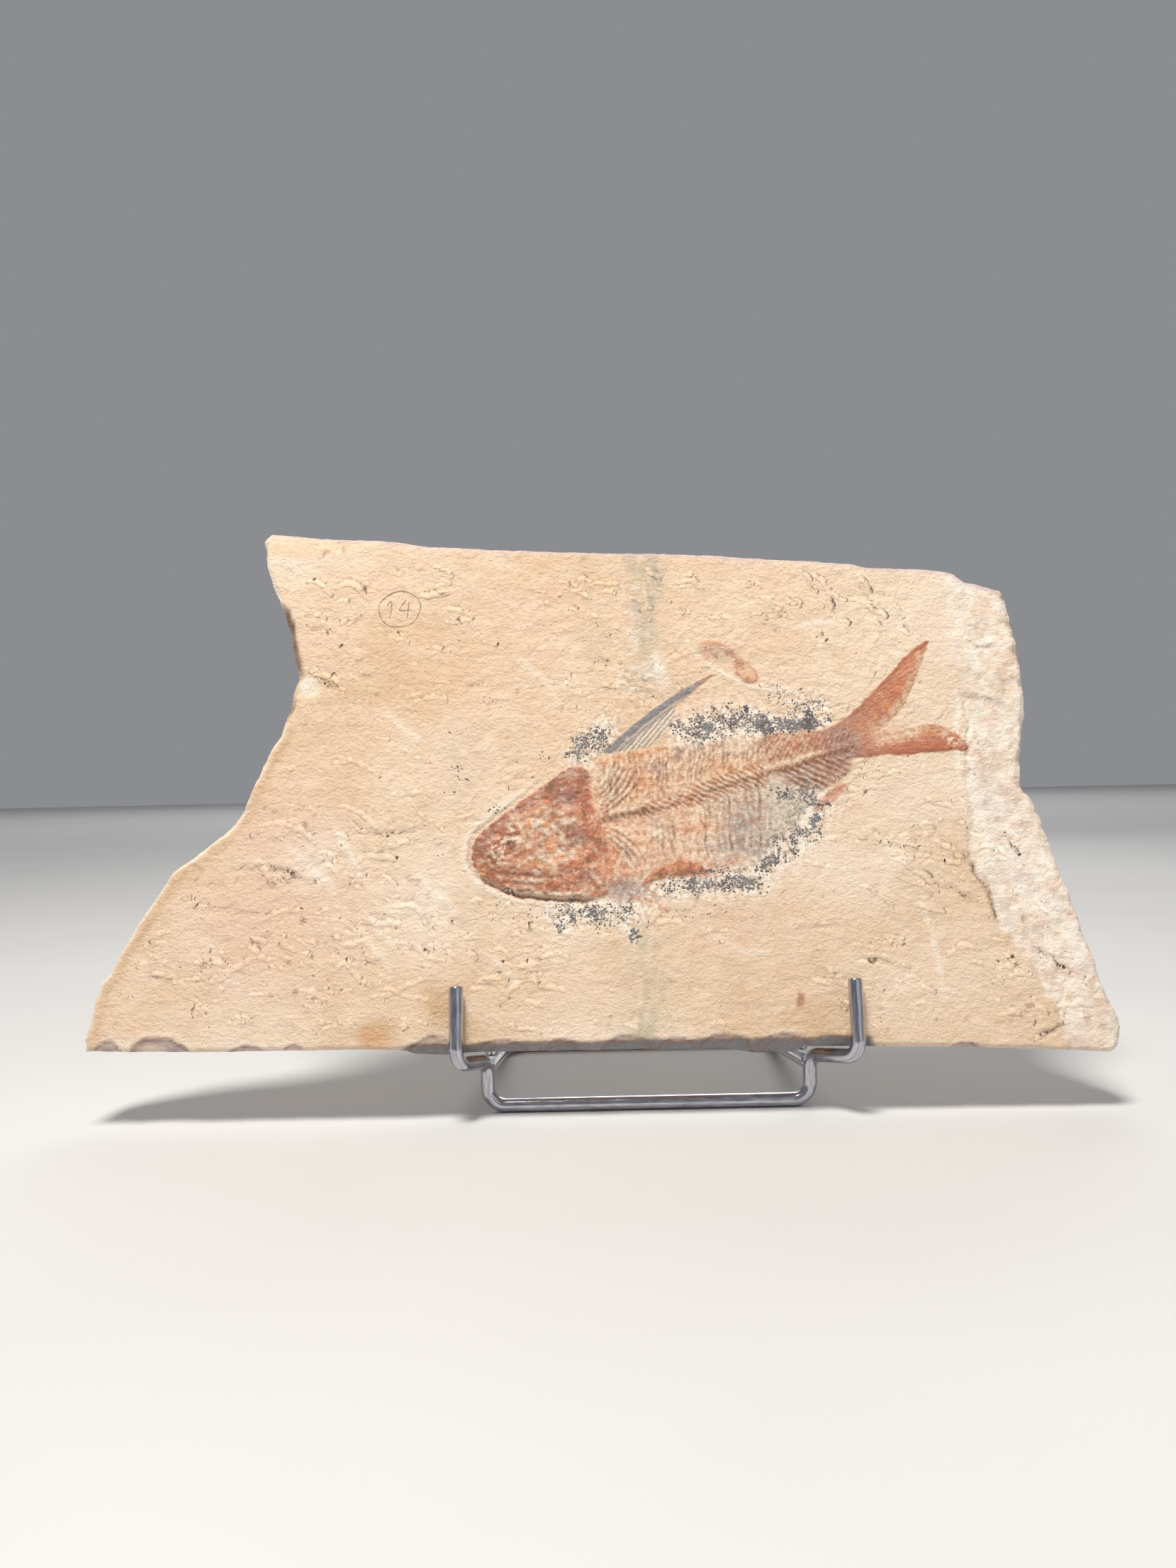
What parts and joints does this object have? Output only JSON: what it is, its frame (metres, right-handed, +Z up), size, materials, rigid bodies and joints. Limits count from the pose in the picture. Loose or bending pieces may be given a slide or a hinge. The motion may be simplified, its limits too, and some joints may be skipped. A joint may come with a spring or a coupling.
{
  "type": "fossil fish slab",
  "caption": "Buff limestone slab with a fossil fish in low relief, leaning back on a bent chrome wire display stand.",
  "frame": {"origin": "on the table under the middle of the whole object, slab and stand together", "axes": "+X to the right as seen from the front, +Y away from the viewer, +Z up; the slab's face looks towards -Y and leans back 10 degrees"},
  "size_m": [0.3028, 0.099, 0.1789],
  "materials": {
    "limestone": "matte, split along its bedding",
    "chrome": "polished plating"
  },
  "bodies": {
    "root": {"slab": "limestone", "hook_wire": "chrome", "rear_wire": "chrome", "back_rest": "chrome"}
  },
  "joints": []
}
